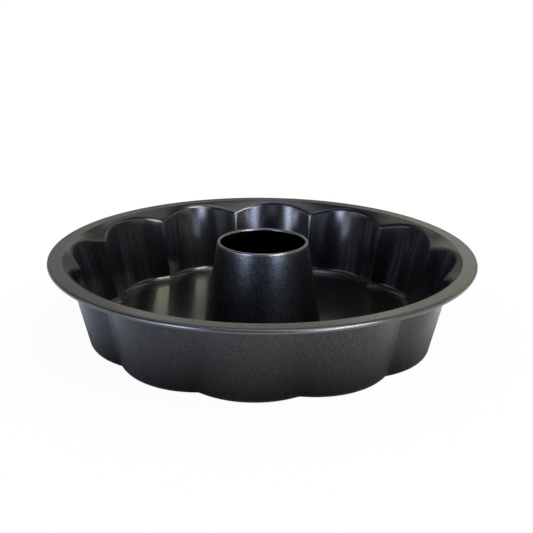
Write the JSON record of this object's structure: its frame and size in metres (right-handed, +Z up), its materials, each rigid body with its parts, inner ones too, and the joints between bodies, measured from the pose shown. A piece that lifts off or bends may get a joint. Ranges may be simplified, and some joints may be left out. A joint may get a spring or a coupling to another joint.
{
  "type": "fluted tube pan",
  "caption": "Round fluted cake pan with lobed walls, a flat rim flange with a rolled edge and a tapered open centre tube, in dark non-stick coated sheet steel.",
  "frame": {"origin": "centre of the underside of the floor, on the axis of the tube", "axes": "+Z up along the axis of the tube; a lobe of the wall is centred on each of +X, -X, +Y and -Y"},
  "size_m": [0.28, 0.28, 0.0595],
  "materials": {
    "shell_coating": "satin charcoal non-stick coating with a fine metallic fleck",
    "tube_coating": "satin charcoal non-stick coating with a fine metallic fleck"
  },
  "bodies": {
    "root": {"pan_shell": "shell_coating", "centre_tube": "tube_coating"}
  },
  "joints": []
}
